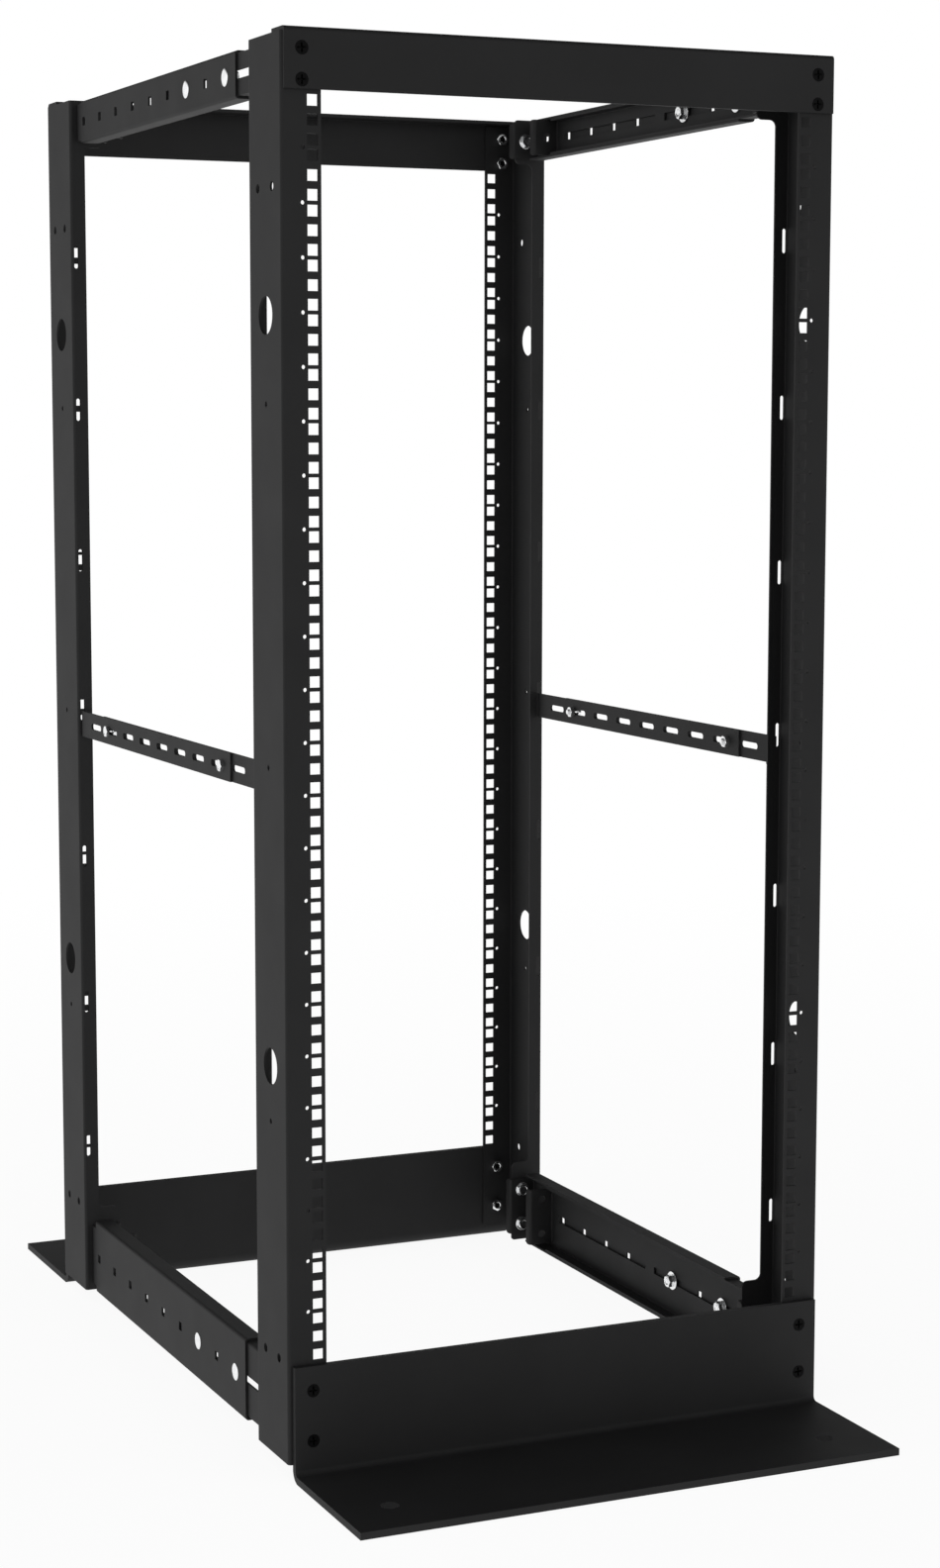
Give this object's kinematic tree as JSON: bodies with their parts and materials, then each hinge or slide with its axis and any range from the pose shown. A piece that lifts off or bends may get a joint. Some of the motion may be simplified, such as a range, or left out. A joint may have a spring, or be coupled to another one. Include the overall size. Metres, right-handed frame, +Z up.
{
  "type": "four post open frame rack",
  "caption": "Open frame equipment rack: square-hole posts on plate feet, tied by top beams, sliding side rails and slotted braces.",
  "frame": {"origin": "on the floor, midway between left and right and between front and rear", "axes": "+X to the right seen from the front, +Y towards the rear, +Z up"},
  "size_m": [0.5206, 0.9628, 1.222],
  "materials": {
    "black_powder_coat": "satin",
    "zinc_fasteners": "bright zinc plate",
    "black_screws": "satin black oxide"
  },
  "bodies": {
    "root": {"brace_front_left": "black_powder_coat", "brace_front_right": "black_powder_coat", "brace_rear_left": "black_powder_coat", "brace_rear_right": "black_powder_coat", "foot_front": "black_powder_coat", "foot_rear": "black_powder_coat", "post_front_left": "black_powder_coat", "post_front_right": "black_powder_coat", "post_rear_left": "black_powder_coat", "post_rear_right": "black_powder_coat", "side_rail_front_bottom_left": "black_powder_coat", "side_rail_front_bottom_right": "black_powder_coat", "side_rail_front_top_left": "black_powder_coat", "side_rail_front_top_right": "black_powder_coat", "side_rail_rear_bottom_left": "black_powder_coat", "side_rail_rear_bottom_right": "black_powder_coat", "side_rail_rear_top_left": "black_powder_coat", "side_rail_rear_top_right": "black_powder_coat", "top_beam_front": "black_powder_coat", "top_beam_rear": "black_powder_coat"}
  },
  "joints": []
}
